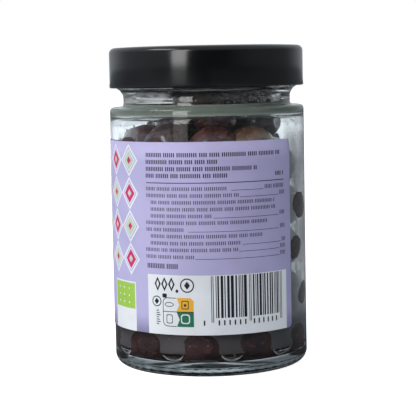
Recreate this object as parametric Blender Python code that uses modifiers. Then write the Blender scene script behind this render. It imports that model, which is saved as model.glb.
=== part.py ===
"""A shut glass jar packed with whole olives.

The jar stands on its base ring at z = 0 with its axis on Z. The front faces -Y and +X is on the right.
It has four pieces: the glass jar, the deep twist-off lid, the paper label that wraps most of the way
round the body, and the olives inside, which are one fused heap.
"""

import math
import random

import bmesh
import bpy
from mathutils import Matrix, Vector

# Driving dimensions of the glass, in metres.
BODY_RADIUS = 0.0365
WALL = 0.0026
SHOULDER_HEIGHT = 0.0970
SHOULDER_CORNER = 0.0014
INNER_SHOULDER = 0.0040
NECK_RADIUS = 0.0314
NECK_FLARE = 0.0014
BEAD_RADIUS = 0.0337
BEAD_TOP = 0.1045
BEAD_BOTTOM = 0.1037
RIM_HEIGHT = 0.1182
RIM_CORNER = 0.0006
MOUTH_RADIUS = 0.0287
HEEL_HEIGHT = 0.0039
HEEL_CORNER = 0.0021
INNER_HEEL = 0.0045
BASE_RING_OUTER = 0.0322
BASE_RING_INNER = 0.0295
PUSH_UP = 0.0018
FLOOR_HEIGHT = 0.0050
FLOOR_RISE = 0.0010
TURN_STEPS = 56

# The body is a hair slimmer where the label lies, with a short slope at each end of that stretch.
LABEL_RECESS = 0.00025
RECESS_MARGIN = 0.0022
RECESS_SLOPE = 0.0013

# The lid is a little narrower than the body, and its hem stands a hair proud of its side.
LID_RADIUS = 0.03645
LID_BOTTOM = 0.1042
LID_TOP = 0.1193
LID_WALL = 0.0008
LID_CORNER = 0.0021
LID_CROWN = 0.0002
HEM_HEIGHT = 0.0021
HEM_WALL = 0.0013
HEM_PROUD = 0.0001
PANEL_RADIUS = 0.0266
PANEL_DEPTH = 0.0013
PANEL_SLOPE = 0.0012
BUTTON_RADIUS = 0.0105
BUTTON_RISE = 0.0004

# The label starts right of the front and leaves a clear window on the right-hand side.
LABEL_BOTTOM = 0.0157
LABEL_TOP = 0.0851
LABEL_RIGHT_EDGE = math.radians(54)
LABEL_SPAN = math.radians(290)
LABEL_THICKNESS = 0.0002
LABEL_CORNER = 0.0018
LABEL_COLUMNS = 58

# The olives. A place is a turn from the front towards +X, so that 90 degrees is the right-hand side.
OLIVE_LENGTH = 0.0196
OLIVE_WIDTH = 0.0164
OLIVE_SIZE_CHANGE = 0.05
OLIVE_SIDES = 9
OLIVE_RINGS = 6
WALL_SQUASH = 0.0012
ROW_HEIGHTS = (0.0117, 0.0266, 0.0430, 0.0593, 0.0752)
ROW_LIFTS = (0.0, 0.0006, 0.0014, 0.0040, 0.0068)
ROW_COUNTS = (10, 9, 9, 9, 10)
ROW_TURNS = (-43, -42.5, -57.5, -49.5, -69)
ROW_HEIGHT_CHANGE = 0.0008
ROW_TURN_CHANGE = 2.5
ROW_LEANS = (16, 80, 80, 80, 60)
CORE_RADIUS = 0.0235
CORE_TOP = 0.0790
MOUND_TOP = 0.0960
MOUND_RADIUS = 0.0060
SLIP = 0.001
HEAP_SEED = 11

# Olives of the mound on top: turn in degrees, distance from the axis, height, heading in degrees.
MOUND_OLIVES = (
    (-45, 0.0150, 0.0910, 70),
    (12, 0.0150, 0.0925, 100),
    (76, 0.0185, 0.0912, 150),
    (137, 0.0150, 0.0922, 30),
    (196, 0.0155, 0.0908, 100),
    (252, 0.0145, 0.0900, 40),
    (-35, 0.0060, 0.0996, 5),
    (125, 0.0090, 0.1002, 50),
)

# Turned faces are flat between their edges, so they reach this much nearer the axis.
TOUCH_GAP = 0.0003
FACET_SLACK = 0.0001


def arc(centre, radius, first, last, steps):
    """Points (r, z) on an arc, from the first angle to the last, in degrees."""
    angles = [math.radians(first + (last - first) * i / steps) for i in range(steps + 1)]
    return [(centre[0] + radius * math.cos(a), centre[1] + radius * math.sin(a)) for a in angles]


def make_material(name, colour, roughness, transmission=0.0):
    material = bpy.data.materials.new(name)
    material.use_nodes = True
    shader = material.node_tree.nodes["Principled BSDF"]
    shader.inputs["Base Color"].default_value = (*colour, 1.0)
    shader.inputs["Roughness"].default_value = roughness
    shader.inputs["Metallic"].default_value = 0.0
    shader.inputs["Transmission Weight"].default_value = transmission
    return material


def add_object(name, mesh, collection, material=None):
    thing = bpy.data.objects.new(name, mesh)
    collection.objects.link(thing)
    if material:
        mesh.materials.append(material)
    return thing


def turned(name, profile, collection, material):
    """A solid turned round Z from (r, z) points that run down its outer side."""
    mesh = bpy.data.meshes.new(name)
    sketch = bmesh.new()
    points = [sketch.verts.new((r, 0.0, z)) for r, z in profile]
    for start, end in zip(points, points[1:]):
        sketch.edges.new((start, end))
    sketch.to_mesh(mesh)
    sketch.free()
    thing = add_object(name, mesh, collection, material)
    screw = thing.modifiers.new("Turn", "SCREW")
    screw.steps = TURN_STEPS
    screw.render_steps = TURN_STEPS
    screw.use_merge_vertices = True
    screw.merge_threshold = 0.00001
    return thing


def inside_profile():
    """The inside of the glass, from the middle of the floor up to the mouth."""
    inner = BODY_RADIUS - WALL
    heel = arc((inner - INNER_HEEL, FLOOR_HEIGHT + INNER_HEEL), INNER_HEEL, -90, 0, 3)
    under = SHOULDER_HEIGHT - WALL * 0.4 - INNER_SHOULDER
    shoulder = arc((inner - INNER_SHOULDER, under), INNER_SHOULDER, 0, 60, 2)
    neck = [
        (MOUTH_RADIUS + RIM_CORNER, SHOULDER_HEIGHT + NECK_FLARE / 2),
        (MOUTH_RADIUS, SHOULDER_HEIGHT + 2 * NECK_FLARE),
    ]
    return [(0.0, FLOOR_HEIGHT + FLOOR_RISE)] + heel + shoulder + neck


def outside_profile():
    """The outside of the glass, from the rim down to the middle of the underside."""
    panel = BODY_RADIUS - LABEL_RECESS
    neck = [
        (NECK_RADIUS - RIM_CORNER, RIM_HEIGHT),
        (NECK_RADIUS, RIM_HEIGHT - RIM_CORNER),
        (NECK_RADIUS, BEAD_TOP + RIM_CORNER),
        (BEAD_RADIUS, BEAD_TOP),
        (BEAD_RADIUS, BEAD_BOTTOM),
        (NECK_RADIUS + RIM_CORNER, BEAD_BOTTOM - NECK_FLARE),
        (NECK_RADIUS, BEAD_BOTTOM - 2 * NECK_FLARE),
        (NECK_RADIUS, SHOULDER_HEIGHT + NECK_FLARE),
        (NECK_RADIUS + NECK_FLARE, SHOULDER_HEIGHT),
    ]
    turn = (BODY_RADIUS - SHOULDER_CORNER, SHOULDER_HEIGHT - SHOULDER_CORNER)
    shoulder = arc(turn, SHOULDER_CORNER, 90, 0, 3)
    recess = [
        (BODY_RADIUS, LABEL_TOP + RECESS_MARGIN + RECESS_SLOPE),
        (panel, LABEL_TOP + RECESS_MARGIN),
        (panel, LABEL_BOTTOM - RECESS_MARGIN),
        (BODY_RADIUS, LABEL_BOTTOM - RECESS_MARGIN - RECESS_SLOPE),
    ]
    heel = [
        (BODY_RADIUS, HEEL_HEIGHT),
        (BODY_RADIUS - HEEL_CORNER * 0.3, HEEL_CORNER),
        (BODY_RADIUS - HEEL_CORNER, HEEL_CORNER * 0.3),
        (BASE_RING_OUTER, 0.0),
    ]
    underside = [(BASE_RING_INNER, 0.0), (BASE_RING_INNER - HEEL_CORNER, PUSH_UP / 2), (0.0, PUSH_UP)]
    return neck + shoulder + recess + heel + underside


def make_jar(collection):
    glass = make_material("clear_glass", (0.93, 0.96, 0.95), 0.02, transmission=1.0)
    rim = [(MOUTH_RADIUS, RIM_HEIGHT - RIM_CORNER), (MOUTH_RADIUS + RIM_CORNER, RIM_HEIGHT)]
    return turned("jar", inside_profile() + rim + outside_profile(), collection, glass)


def make_lid(collection):
    """A thin metal shell, open below: a button and a sunk panel on top, and a rolled hem at the bottom."""
    black = make_material("black_lacquer", (0.012, 0.012, 0.013), 0.3)
    panel = LID_TOP - PANEL_DEPTH
    side = LID_RADIUS - HEM_PROUD
    top = [
        (0.0, panel + BUTTON_RISE),
        (BUTTON_RADIUS, panel + BUTTON_RISE),
        (BUTTON_RADIUS + PANEL_SLOPE, panel),
        (PANEL_RADIUS, panel),
        (PANEL_RADIUS + PANEL_SLOPE, LID_TOP - LID_CROWN / 2),
        (PANEL_RADIUS + 2.5 * PANEL_SLOPE, LID_TOP),
    ]
    corner = arc((side - LID_CORNER, LID_TOP - LID_CROWN - LID_CORNER), LID_CORNER, 90, 0, 4)
    hem = [
        (side, LID_BOTTOM + HEM_HEIGHT),
        (LID_RADIUS, LID_BOTTOM + HEM_HEIGHT / 2),
        (LID_RADIUS - 3 * HEM_PROUD, LID_BOTTOM),
        (LID_RADIUS - HEM_WALL, LID_BOTTOM),
        (LID_RADIUS - HEM_WALL, LID_BOTTOM + HEM_HEIGHT),
    ]
    under = LID_TOP - LID_WALL
    inside = [
        (side - LID_WALL, LID_BOTTOM + HEM_HEIGHT + HEM_WALL - LID_WALL),
        (side - LID_WALL, LID_TOP - LID_CORNER),
        (side - LID_CORNER, under),
        (PANEL_RADIUS + PANEL_SLOPE, under),
        (PANEL_RADIUS, panel - LID_WALL),
        (0.0, panel - LID_WALL),
    ]
    return turned("lid", top + corner + hem + inside, collection, black)


def make_label(collection):
    """The paper, cut flat with round corners and then bent round the glass."""
    paper = make_material("label_paper", (0.52, 0.47, 0.75), 0.45)
    bend = BODY_RADIUS - LABEL_RECESS + TOUCH_GAP
    length = bend * LABEL_SPAN
    height = LABEL_TOP - LABEL_BOTTOM
    sheet = bmesh.new()
    bmesh.ops.create_grid(sheet, x_segments=LABEL_COLUMNS, y_segments=1, size=0.5)
    bmesh.ops.scale(sheet, vec=(length, height, 1.0), verts=sheet.verts)
    corners = [v for v in sheet.verts if len(v.link_edges) == 2]
    bmesh.ops.bevel(
        sheet, geom=corners, offset=LABEL_CORNER, offset_type="OFFSET", segments=3,
        profile=0.5, affect="VERTICES", material=-1,
    )
    middle = LABEL_RIGHT_EDGE - LABEL_SPAN / 2
    for v in sheet.verts:
        turn = middle + v.co.x / bend
        v.co = (bend * math.sin(turn), -bend * math.cos(turn), (LABEL_BOTTOM + LABEL_TOP) / 2 + v.co.y)
    mesh = bpy.data.meshes.new("label")
    sheet.to_mesh(mesh)
    sheet.free()
    label = add_object("label", mesh, collection, paper)
    thickness = label.modifiers.new("Paper", "SOLIDIFY")
    thickness.thickness = LABEL_THICKNESS
    thickness.offset = 1.0
    return label


def in_window(turn):
    """Whether a turn from the front lies in the clear window beside the label."""
    return (turn - LABEL_RIGHT_EDGE) % math.tau < math.tau - LABEL_SPAN


def olive_places():
    """Each olive as (centre, turning matrix, length, width): rows against the glass, and a mound on top."""
    draw = random.Random(HEAP_SEED)
    places = []
    for height, lift, count, first, lean in zip(ROW_HEIGHTS, ROW_LIFTS, ROW_COUNTS, ROW_TURNS, ROW_LEANS):
        for i in range(count):
            width = OLIVE_WIDTH * (1 + OLIVE_SIZE_CHANGE * draw.uniform(-1, 1))
            length = OLIVE_LENGTH * (1 + OLIVE_SIZE_CHANGE * draw.uniform(-1, 1))
            turn = math.radians(first + 360 * i / count + ROW_TURN_CHANGE * draw.uniform(-1, 1))
            level = height + ROW_HEIGHT_CHANGE * draw.uniform(-1, 1)
            if not in_window(turn):
                level += lift
            tip = Matrix.Rotation(math.radians(lean * draw.uniform(-1, 1)), 3, "Y")
            away = BODY_RADIUS - WALL + WALL_SQUASH - width / 2
            centre = Vector((away * math.sin(turn), -away * math.cos(turn), level))
            places.append((centre, Matrix.Rotation(turn, 3, "Z") @ tip, length, width))
    for turn, away, height, heading in MOUND_OLIVES:
        turn = math.radians(turn)
        centre = Vector((away * math.sin(turn), -away * math.cos(turn), height))
        facing = Matrix.Rotation(math.radians(heading), 3, "Z")
        places.append((centre, facing, OLIVE_LENGTH, OLIVE_WIDTH))
    return places


def inside_radius(height):
    """How far from the axis the olives may reach at a height, clear of the glass."""
    outline = inside_profile()[1:]
    radius = outline[0][0] if height < outline[0][1] else MOUTH_RADIUS
    for (low_r, low_z), (high_r, high_z) in zip(outline, outline[1:]):
        if low_z < height <= high_z:
            share = (height - low_z) / (high_z - low_z)
            radius = low_r + (high_r - low_r) * share
    return radius - FACET_SLACK - TOUCH_GAP


def hold_inside(point):
    """Presses a point that reaches past the inside of the jar back against it."""
    point.z = max(point.z, FLOOR_HEIGHT + FLOOR_RISE + TOUCH_GAP)
    limit = inside_radius(point.z)
    away = math.hypot(point.x, point.y)
    if away > limit:
        point.x *= limit / away
        point.y *= limit / away


def make_olive(name, centre, facing, length, width, collection):
    """A plump egg-shaped fruit, longest along its own X, pressed flat where it meets the glass."""
    fruit = bmesh.new()
    bmesh.ops.create_uvsphere(fruit, u_segments=OLIVE_SIDES, v_segments=OLIVE_RINGS, radius=0.5)
    bmesh.ops.rotate(fruit, verts=fruit.verts, cent=(0, 0, 0), matrix=Matrix.Rotation(math.pi / 2, 3, "Y"))
    bmesh.ops.scale(fruit, vec=(length, width, width), verts=fruit.verts)
    for v in fruit.verts:
        v.co = centre + facing @ v.co
        hold_inside(v.co)
    mesh = bpy.data.meshes.new(name)
    fruit.to_mesh(mesh)
    fruit.free()
    return add_object(name, mesh, collection)


def keep_largest_shell(mesh):
    """Drops loose scraps and sealed hollows, which are shells of their own, and keeps the outer one."""
    heap = bmesh.new()
    heap.from_mesh(mesh)
    left = set(heap.verts)
    shells = []
    while left:
        shell = set()
        front = [left.pop()]
        while front:
            v = front.pop()
            shell.add(v)
            for edge in v.link_edges:
                other = edge.other_vert(v)
                if other in left:
                    left.remove(other)
                    front.append(other)
        shells.append(shell)
    largest = max(shells, key=len)
    bmesh.ops.delete(heap, geom=[v for v in heap.verts if v not in largest], context="VERTS")
    heap.to_mesh(mesh)
    heap.free()


def make_core(name, bottom, top, bottom_radius, top_radius, collection, material=None):
    """A round block in the middle of the heap, which the olives are joined to."""
    block = bmesh.new()
    bmesh.ops.create_cone(
        block, cap_ends=True, segments=24, radius1=bottom_radius, radius2=top_radius, depth=top - bottom
    )
    bmesh.ops.translate(block, verts=block.verts, vec=(0, 0, (top + bottom) / 2))
    mesh = bpy.data.meshes.new(name)
    block.to_mesh(mesh)
    block.free()
    return add_object(name, mesh, collection, material)


def make_olives(collection):
    """The olives that show, joined to a core in one solid."""
    skin = make_material("olive_skin", (0.045, 0.018, 0.022), 0.3)
    fruits = bpy.data.collections.new("olive_fruits")
    collection.children.link(fruits)
    for i, (centre, facing, length, width) in enumerate(olive_places()):
        make_olive(f"fruit_{i:02d}", centre, facing, length, width, fruits)
    make_core("mound_core", CORE_TOP - SLIP, MOUND_TOP, CORE_RADIUS - SLIP, MOUND_RADIUS, fruits)
    bottom = FLOOR_HEIGHT + FLOOR_RISE + TOUCH_GAP
    heap = make_core("olives", bottom, CORE_TOP, CORE_RADIUS, CORE_RADIUS, collection, skin)

    join = heap.modifiers.new("Join", "BOOLEAN")
    join.operation = "UNION"
    join.operand_type = "COLLECTION"
    join.collection = fruits
    join.solver = "MANIFOLD"
    bpy.context.view_layer.update()
    graph = bpy.context.evaluated_depsgraph_get()
    joined = bpy.data.meshes.new_from_object(heap.evaluated_get(graph))
    heap.modifiers.clear()
    heap.data = joined
    joined.name = "olives_heap"
    keep_largest_shell(joined)
    for fruit in list(fruits.objects):
        bpy.data.objects.remove(fruit, do_unlink=True)
    bpy.data.collections.remove(fruits)
    return heap


def smooth(thing, angle):
    """Smooth shading that keeps the edges sharper than the angle."""
    thing.data.shade_smooth()
    thing.data.set_sharp_from_angle(angle=math.radians(angle))


def main():
    for thing in list(bpy.data.objects):
        bpy.data.objects.remove(thing, do_unlink=True)
    collection = bpy.data.collections.new("jar_of_olives")
    bpy.context.scene.collection.children.link(collection)
    handle = bpy.data.objects.new("jar_of_olives", None)
    collection.objects.link(handle)
    pieces = [make_jar(collection), make_lid(collection), make_label(collection), make_olives(collection)]
    for piece in pieces:
        piece.parent = handle
    smooth(pieces[3], 50)


if __name__ == "__main__":
    main()
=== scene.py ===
"""A shut glass jar packed with whole olives: the visual pieces, the studio floor, lights and camera.

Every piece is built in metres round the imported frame. Run it as a script; the panel in the 3D view
lists the same steps. The front faces -Y and +X is on the right. A turn is an angle from the front
towards +X, so 90 degrees is the right-hand side.
"""

import math
import random

import bmesh
import bpy
from bpy.props import FloatProperty, FloatVectorProperty, IntProperty, PointerProperty
from mathutils import Matrix, Vector, noise


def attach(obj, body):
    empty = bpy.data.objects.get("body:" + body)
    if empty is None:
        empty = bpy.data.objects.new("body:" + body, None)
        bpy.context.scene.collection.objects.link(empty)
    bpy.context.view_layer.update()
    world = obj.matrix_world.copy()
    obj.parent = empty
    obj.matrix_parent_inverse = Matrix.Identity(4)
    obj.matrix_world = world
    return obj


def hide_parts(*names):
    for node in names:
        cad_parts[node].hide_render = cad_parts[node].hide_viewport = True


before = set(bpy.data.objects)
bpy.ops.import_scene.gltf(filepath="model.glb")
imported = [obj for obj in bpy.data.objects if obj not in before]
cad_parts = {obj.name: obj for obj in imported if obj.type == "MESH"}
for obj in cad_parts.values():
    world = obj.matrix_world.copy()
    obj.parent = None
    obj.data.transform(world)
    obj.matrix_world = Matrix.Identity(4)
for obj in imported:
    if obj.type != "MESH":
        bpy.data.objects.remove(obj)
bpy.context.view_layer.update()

bl_info = {
    "name": "Jar of olives",
    "version": (1, 0, 0),
    "blender": (4, 5, 0),
    "location": "View3D > Sidebar > Olive jar",
    "description": "Builds a shut glass jar of olives with its lid and paper label",
    "category": "Add Mesh",
}

BODY = "root"
MM = 0.001

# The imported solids' own dimensions, in metres.
BODY_RADIUS = 0.0365
WALL = 0.0026
INNER_RADIUS = BODY_RADIUS - WALL
SHOULDER_HEIGHT = 0.0970
SHOULDER_CORNER = 0.0014
INNER_SHOULDER = 0.0040
NECK_RADIUS = 0.0314
NECK_FLARE = 0.0014
BEAD_RADIUS = 0.0337
BEAD_TOP = 0.1045
BEAD_BOTTOM = 0.1037
RIM_HEIGHT = 0.1182
RIM_CORNER = 0.0006
MOUTH_RADIUS = 0.0287
HEEL_HEIGHT = 0.0039
HEEL_CORNER = 0.0021
INNER_HEEL = 0.0045
BASE_RING_OUTER = 0.0322
BASE_RING_INNER = 0.0295
PUSH_UP = 0.0018
FLOOR_HEIGHT = 0.0050
FLOOR_RISE = 0.0010

# The glass looks thick and green from here to here, under the shoulder.
RING_LOW = 0.0938
RING_HIGH = 0.0981

LID_RADIUS = 0.03645
LID_BOTTOM = 0.1042
LID_TOP = 0.1193
LID_WALL = 0.0008
LID_CORNER = 0.0021
LID_CROWN = 0.0002
HEM_HEIGHT = 0.0021
HEM_WALL = 0.0013
HEM_PROUD = 0.0001
PANEL_RADIUS = 0.0266
PANEL_DEPTH = 0.0013
PANEL_SLOPE = 0.0012
BUTTON_RADIUS = 0.0105
BUTTON_RISE = 0.0004
LID_SIDE_CROWN = 8.0

# The gripping marks on the heel: where they start and end, and the height of a row.
STIPPLE_LOW = 0.0004
STIPPLE_HIGH = 0.0030
STIPPLE_ROW = 0.0007

LABEL_BOTTOM = 0.0157
LABEL_TOP = 0.0851
LABEL_RIGHT_EDGE = math.radians(54)
LABEL_SPAN = math.radians(290)
LABEL_INSIDE = 0.03655
LABEL_OUTSIDE = 0.03670
PRINT_RADIUS = 36.7
PRINT_STEP = 0.0000048
PAPER_CORNER = 0.0018
# A painted shadow: the dark red-brown line along the label's bottom edge.
EDGE_SHADOW_COLOUR = (0.055, 0.012, 0.012)

OLIVE_LENGTH = 0.0196
OLIVE_WIDTH = 0.0164
OLIVE_SIZE_CHANGE = 0.05
WALL_SQUASH = 0.0012
ROW_HEIGHTS = (0.0117, 0.0266, 0.0430, 0.0593, 0.0752)
ROW_LIFTS = (0.0, 0.0006, 0.0014, 0.0040, 0.0068)
ROW_COUNTS = (10, 9, 9, 9, 10)
ROW_TURNS = (-43, -42.5, -57.5, -49.5, -69)
ROW_HEIGHT_CHANGE = 0.0008
ROW_TURN_CHANGE = 2.5
ROW_LEANS = (16, 80, 80, 80, 60)
HEAP_SEED = 11

# How much of an olive's reach into the floor is left, and where its stem end's dimple and its tip start.
FLOOR_GIVE = 0.04
DIMPLE_START, DIMPLE_DEPTH = 0.93, 0.016
TIP_START, TIP_RISE = 0.955, 0.012

# Olives of the mound on top: turn in degrees, distance from the axis, height, heading in degrees.
MOUND_OLIVES = (
    (-45, 0.0150, 0.0910, 70),
    (12, 0.0150, 0.0925, 100),
    (76, 0.0185, 0.0912, 150),
    (137, 0.0150, 0.0922, 30),
    (196, 0.0155, 0.0908, 100),
    (252, 0.0145, 0.0900, 40),
    (-35, 0.0060, 0.1017, 5),
    (125, 0.0090, 0.1002, 50),
    (74, 0.0165, 0.0985, 160),
)

# Olives of the rows that lie a little off their rule: turn in degrees, towards the axis, and rise.
SHIFTED_OLIVES = {
    37: (12, 0.0, 0.0004),
    40: (-6, 0.0, -0.0011),
    41: (0, 0.0018, 0.0),
    31: (-1.5, -0.0004, 0.0014),
    22: (0, 0.0, 0.0012),
}

# How brown each olive that shows at the top is, from 0, black-purple, to 1, tan.
PICKED_TONES = {
    37: 0.34, 38: 0.24, 39: 0.50, 40: 0.90, 41: 0.20, 47: 0.15, 48: 0.40, 49: 0.05, 53: 0.72, 55: 0.10}

# The olives in the middle of the jar: how many in a row, their distance from the axis, and the rows' heights.
INNER_RING = (5, 0.0118, (0.0165, 0.0335, 0.0500, 0.0665, 0.0805))
OUTER_RING = (8, 0.0195, (0.0190, 0.0345, 0.0510, 0.0665))


# Helpers for meshes.

def arc(centre, radius, first, last, steps):
    """Points (r, z) on an arc, from the first angle to the last, in degrees."""
    angles = [math.radians(first + (last - first) * i / steps) for i in range(steps + 1)]
    return [(centre[0] + radius * math.cos(a), centre[1] + radius * math.sin(a)) for a in angles]


def fine_line(points, longest):
    """The same line of (r, z) points, with its long stretches divided."""
    line = [points[0]]
    for (r0, z0), (r1, z1) in zip(points, points[1:]):
        parts = max(1, math.ceil(math.hypot(r1 - r0, z1 - z0) / longest))
        line += [(r0 + (r1 - r0) * i / parts, z0 + (z1 - z0) * i / parts) for i in range(1, parts + 1)]
    return line


def turn_of(co):
    return math.atan2(co.x, -co.y)


def at_turn(turn, radius, height):
    return Vector((radius * math.sin(turn), -radius * math.cos(turn), height))


def spun(profile, steps):
    """A bmesh turned once round Z from (r, z) points."""
    shape = bmesh.new()
    line = [shape.verts.new((r, 0.0, z)) for r, z in profile]
    edges = [shape.edges.new(pair) for pair in zip(line, line[1:])]
    bmesh.ops.spin(
        shape, geom=line + edges, cent=(0, 0, 0), axis=(0, 0, 1), dvec=(0, 0, 0),
        angle=math.tau, steps=steps, use_merge=True, use_duplicate=False,
    )
    bmesh.ops.remove_doubles(shape, verts=shape.verts, dist=1e-7)
    return shape


def finish_piece(name, shape, materials, node=None, sharp=None, recalculate=True):
    """Turns a bmesh into a shown piece that rides on the jar."""
    if recalculate:
        bmesh.ops.recalc_face_normals(shape, faces=shape.faces)
    mesh = bpy.data.meshes.new(name)
    shape.to_mesh(mesh)
    shape.free()
    for material in materials:
        mesh.materials.append(material)
    mesh.shade_smooth()
    if sharp is not None:
        mesh.set_sharp_from_angle(angle=math.radians(sharp))
    piece = bpy.data.objects.new(name, mesh)
    bpy.context.scene.collection.objects.link(piece)
    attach(piece, BODY)
    if node:
        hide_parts(node)
    return piece


def inside_profile():
    """The inside of the glass, from the middle of the floor up to the rim."""
    heel = arc((INNER_RADIUS - INNER_HEEL, FLOOR_HEIGHT + INNER_HEEL), INNER_HEEL, -90, 0, 12)
    under = SHOULDER_HEIGHT - WALL * 0.4 - INNER_SHOULDER
    shoulder = arc((INNER_RADIUS - INNER_SHOULDER, under), INNER_SHOULDER, 0, 60, 9)
    neck = [
        (MOUTH_RADIUS + RIM_CORNER, SHOULDER_HEIGHT + NECK_FLARE / 2),
        (MOUTH_RADIUS + RIM_CORNER * 0.3, SHOULDER_HEIGHT + 1.2 * NECK_FLARE),
        (MOUTH_RADIUS, SHOULDER_HEIGHT + 2 * NECK_FLARE),
    ]
    return [(0.0, FLOOR_HEIGHT + FLOOR_RISE)] + heel + shoulder + neck


INSIDE_LINE = inside_profile()[1:]


def inside_radius(height):
    """The inner radius of the glass at a height."""
    if height <= INSIDE_LINE[0][1]:
        return INSIDE_LINE[0][0]
    for (low_r, low_z), (high_r, high_z) in zip(INSIDE_LINE, INSIDE_LINE[1:]):
        if low_z < height <= high_z:
            return low_r + (high_r - low_r) * (height - low_z) / (high_z - low_z)
    return MOUTH_RADIUS


# Helpers for materials.

def feed(socket, value):
    """Links a socket to another one, or sets its value; a colour is three numbers."""
    if isinstance(value, bpy.types.NodeSocket):
        socket.id_data.links.new(value, socket)
    elif socket.type == "RGBA":
        socket.default_value = (*value, 1.0)
    else:
        socket.default_value = value


class Nodes:
    """Adds shader nodes to one tree. A value is a number, a colour or another node's socket."""

    def __init__(self, tree):
        self.tree = tree

    def add(self, kind, inputs=None, **given):
        """A node with its settings, and its inputs by name or number."""
        made = self.tree.nodes.new("ShaderNode" + kind)
        for key, value in given.items():
            setattr(made, key, value)
        for key, value in (inputs or {}).items():
            feed(made.inputs[key], value)
        return made

    def maths(self, operation, *values):
        return self.add("Math", dict(enumerate(values)), operation=operation).outputs[0]

    def times(self, *values):
        """The product of two values or more."""
        product = values[0]
        for value in values[1:]:
            product = self.maths("MULTIPLY", product, value)
        return product

    def scaled(self, value, factor, offset):
        return self.maths("MULTIPLY_ADD", value, factor, offset)

    def spread(self, value, low, high, to_low=0.0, to_high=1.0):
        """A value mapped softly from one range to another, and kept inside it."""
        keys = ("Value", "From Min", "From Max", "To Min", "To Max")
        given = dict(zip(keys, (value, low, high, to_low, to_high)))
        return self.add("MapRange", given, interpolation_type="SMOOTHSTEP").outputs[0]

    def band(self, value, low, low_end, high_start, high):
        """One inside a band of values, with a soft start and end."""
        return self.times(self.spread(value, low, low_end), self.spread(value, high, high_start))

    def mixed(self, share, first, second):
        """Two colours mixed."""
        return self.add("Mix", {0: share, 6: first, 7: second}, data_type="RGBA").outputs[2]

    def ramp(self, share, *stops):
        """A colour ramp from (place, colour) stops."""
        made = self.add("ValToRGB", {"Fac": share})
        band = made.color_ramp.elements
        while len(band) < len(stops):
            band.new(0.5)
        for element, (place, colour) in zip(band, stops):
            element.position = place
            element.color = (*colour, 1.0)
        return made.outputs[0]

    def bumped(self, height, distance, strength=1.0, normal=None):
        given = {"Height": height, "Distance": distance, "Strength": strength}
        return self.add("Bump", given | ({"Normal": normal} if normal else {})).outputs[0]

    def stretched(self, place, *stretch):
        return self.add("Mapping", {"Vector": place, "Scale": stretch}).outputs[0]

    def place(self, *stretch):
        """Object coordinates, stretched along X, Y and Z."""
        return self.stretched(self.add("TexCoord").outputs["Object"], *(stretch or (1, 1, 1)))

    def axes(self):
        """The object's own X, Y and Z."""
        return self.add("SeparateXYZ", {"Vector": self.add("TexCoord").outputs["Object"]}).outputs

    def shaders(self, share, first, second):
        """Two shaders mixed, as the surface of the material."""
        mix = self.add("MixShader", {0: share, 1: first.outputs[0], 2: second.outputs[0]})
        feed(self.tree.nodes["Material Output"].inputs["Surface"], mix.outputs[0])

    def shared(self, group, *values):
        """A shared node group with its inputs in order."""
        made = self.add("Group", node_tree=group)
        for socket, value in zip(made.inputs, values):
            feed(socket, value)
        return made.outputs

    def blotches(self, place, scale, detail, low, high):
        """Soft blotches, as a Mask and a Height."""
        group = bpy.data.node_groups.get("soft_blotches") or blotch_group()
        return self.shared(group, place, scale, detail, low, high)

    def mask(self, scale, detail, low, high, *stretch):
        """A mask of soft blotches in stretched Object coordinates."""
        return self.blotches(self.place(*stretch), scale, detail, low, high)["Mask"]

    def specks(self, scale, size, amount, place=None):
        """A mask of scattered specks."""
        group = bpy.data.node_groups.get("scattered_specks") or speck_group()
        return self.shared(group, place or self.place(), scale, size, amount)["Mask"]


class Look(Nodes):
    """The nodes of a new material round its Principled shader."""

    def __init__(self, name):
        self.material = bpy.data.materials.new(name)
        self.material.use_nodes = True
        super().__init__(self.material.node_tree)
        self.shader = self.tree.nodes["Principled BSDF"]
        self.shader.inputs["Metallic"].default_value = 0.0

    def finish(self, **inputs):
        """Sets the shader's inputs, and gives the material."""
        for key, value in inputs.items():
            feed(self.shader.inputs[key.replace("_", " ")], value)
        return self.material

    def let_lamps_through(self):
        """Clear pieces pass light to what is behind them instead of a hard shadow."""
        shadow = self.add("LightPath").outputs["Is Shadow Ray"]
        self.shaders(shadow, self.shader, self.add("BsdfTransparent"))


def new_group(name, inputs, outputs):
    """An empty shader node group: a Place, and numbers in and out."""
    group = bpy.data.node_groups.new(name, "ShaderNodeTree")
    group.interface.new_socket("Place", in_out="INPUT", socket_type="NodeSocketVector")
    for way, labels in (("INPUT", inputs), ("OUTPUT", outputs)):
        for label in labels:
            group.interface.new_socket(label, in_out=way, socket_type="NodeSocketFloat")
    return Nodes(group), group.nodes.new("NodeGroupInput").outputs, group.nodes.new("NodeGroupOutput").inputs


def blotch_group():
    """Soft blotches: noise pushed to a mask between two levels."""
    nodes, given, out = new_group("soft_blotches", ("Scale", "Detail", "Low", "High"), ("Mask", "Height"))
    inputs = {"Vector": given["Place"], "Scale": given["Scale"], "Detail": given["Detail"]}
    cloud = nodes.add("TexNoise", inputs).outputs[0]
    feed(out["Mask"], nodes.spread(cloud, given["Low"], given["High"]))
    feed(out["Height"], cloud)
    return nodes.tree


def speck_group():
    """Small round specks, some of them left out at random."""
    nodes, given, out = new_group("scattered_specks", ("Scale", "Size", "Amount"), ("Mask",))
    cells = nodes.add("TexVoronoi", {"Vector": given["Place"], "Scale": given["Scale"], "Randomness": 1.0})
    half = nodes.times(given["Size"], 0.5)
    near = nodes.spread(cells.outputs["Distance"], half, given["Size"], 1.0, 0.0)
    chance = nodes.add("SeparateColor", {"Color": cells.outputs["Color"]}).outputs[0]
    feed(out["Mask"], nodes.times(near, nodes.maths("LESS_THAN", chance, given["Amount"])))
    return nodes.tree


# Settings that a user would change.

def colour_setting(name, description, default):
    return FloatVectorProperty(
        name=name, description=description, subtype="COLOR", size=3, min=0, max=1, default=default)


def count_setting(name, description, default, least, most):
    return IntProperty(name=name, description=description, default=default, min=least, max=most)


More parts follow.
